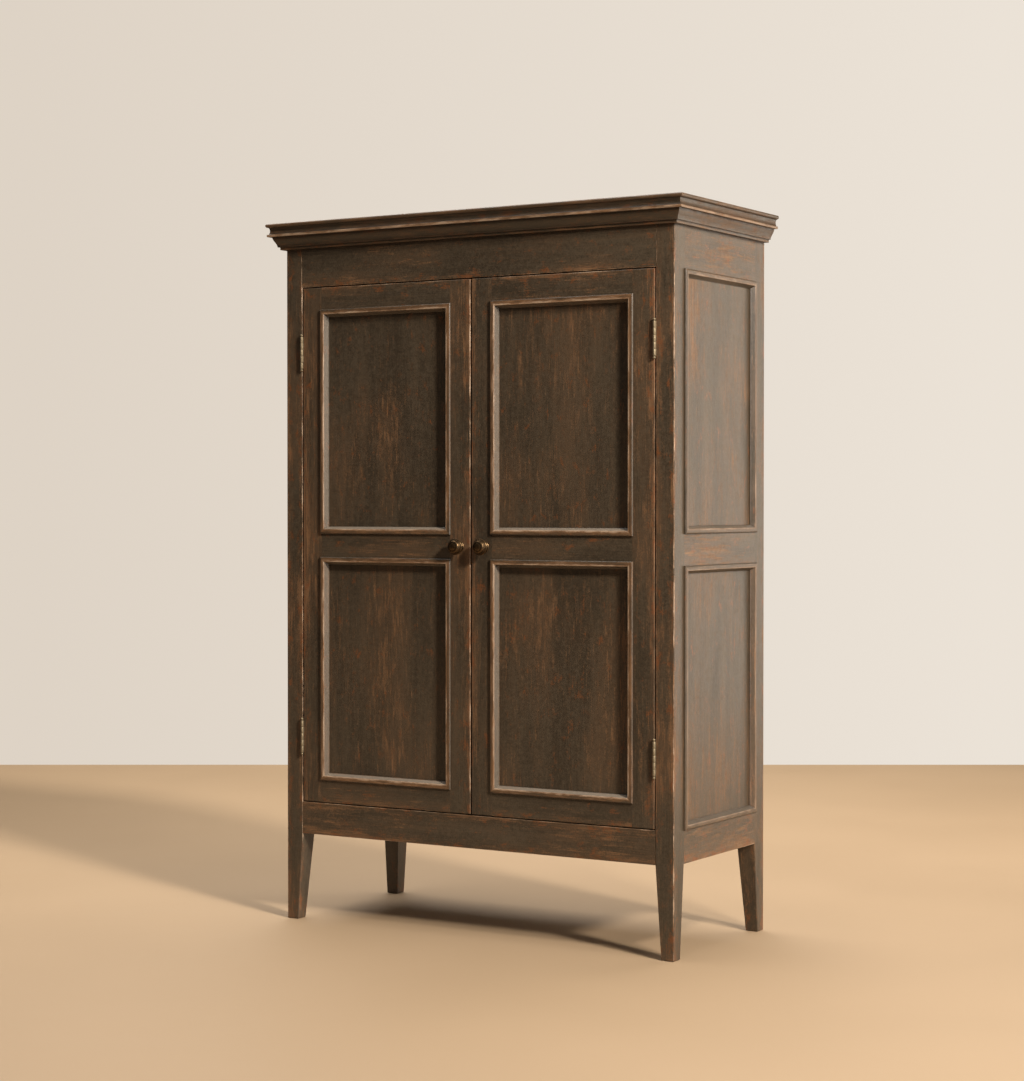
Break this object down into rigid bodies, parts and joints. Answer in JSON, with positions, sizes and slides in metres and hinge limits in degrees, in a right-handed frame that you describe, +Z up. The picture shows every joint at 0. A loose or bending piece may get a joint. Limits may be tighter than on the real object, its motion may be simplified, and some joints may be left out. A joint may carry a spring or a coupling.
{
  "type": "armoire",
  "caption": "Free-standing wooden wardrobe on tapered legs: panelled sides, mitred crown, inset panelled doors on butt hinges, and a hanging rod inside.",
  "frame": {"origin": "at floor level under the middle of the whole piece, crown included", "axes": "+Z up, the doors face -Y, and the left door as seen from the front is at -X"},
  "size_m": [1.221, 0.534, 1.817],
  "materials": {
    "painted_wood": "dark charcoal-brown paint, satin, rubbed through to warm brown wood in streaks and at the edges",
    "inner_wood": "stained brown wood, low sheen",
    "antique_brass": "antique brass, darkened in the hollows",
    "dark_steel": "dark bronze-coloured steel"
  },
  "bodies": {
    "case": {"apron_rail": "painted_wood", "back_panel": "inner_wood", "bottom_board": "inner_wood", "door_catch": "dark_steel", "frieze_rail": "painted_wood", "front_crown": "painted_wood", "front_left_post": "painted_wood", "front_right_post": "painted_wood", "hanging_rod": "dark_steel", "left_crown": "painted_wood", "left_lower_hinge_case_leaf": "antique_brass", "left_lower_hinge_pin": "antique_brass", "left_side_bottom_rail": "painted_wood", "left_side_lower_moulding": "painted_wood", "left_side_lower_panel": "painted_wood", "left_side_mid_rail": "painted_wood", "left_side_top_rail": "painted_wood", "left_side_upper_moulding": "painted_wood", "left_side_upper_panel": "painted_wood", "left_upper_hinge_case_leaf": "antique_brass", "left_upper_hinge_pin": "antique_brass", "rear_left_post": "painted_wood", "rear_right_post": "painted_wood", "right_crown": "painted_wood", "right_lower_hinge_case_leaf": "antique_brass", "right_lower_hinge_pin": "antique_brass", "right_side_bottom_rail": "painted_wood", "right_side_lower_moulding": "painted_wood", "right_side_lower_panel": "painted_wood", "right_side_mid_rail": "painted_wood", "right_side_top_rail": "painted_wood", "right_side_upper_moulding": "painted_wood", "right_side_upper_panel": "painted_wood", "right_upper_hinge_case_leaf": "antique_brass", "right_upper_hinge_pin": "antique_brass", "top_board": "painted_wood"},
    "door_left": {"left_door_bottom_rail": "painted_wood", "left_door_hinge_stile": "painted_wood", "left_door_knob": "antique_brass", "left_door_lower_moulding": "painted_wood", "left_door_lower_panel": "painted_wood", "left_door_meeting_stile": "painted_wood", "left_door_mid_rail": "painted_wood", "left_door_top_rail": "painted_wood", "left_door_upper_moulding": "painted_wood", "left_door_upper_panel": "painted_wood", "left_lower_hinge_door_leaf": "antique_brass", "left_upper_hinge_door_leaf": "antique_brass"},
    "door_right": {"right_door_bottom_rail": "painted_wood", "right_door_hinge_stile": "painted_wood", "right_door_knob": "antique_brass", "right_door_lower_moulding": "painted_wood", "right_door_lower_panel": "painted_wood", "right_door_meeting_stile": "painted_wood", "right_door_mid_rail": "painted_wood", "right_door_top_rail": "painted_wood", "right_door_upper_moulding": "painted_wood", "right_door_upper_panel": "painted_wood", "right_lower_hinge_door_leaf": "antique_brass", "right_upper_hinge_door_leaf": "antique_brass"}
  },
  "joints": [
    {"name": "left_door_hinge", "type": "hinge", "parent": "case", "child": "door_left", "pos_m": [-0.51925, -0.2315, 0.98], "axis": [0, 0, -1], "range_deg": [0, 170]},
    {"name": "right_door_hinge", "type": "hinge", "parent": "case", "child": "door_right", "pos_m": [0.51925, -0.2315, 0.98], "axis": [0, 0, 1], "range_deg": [0, 170]}
  ]
}
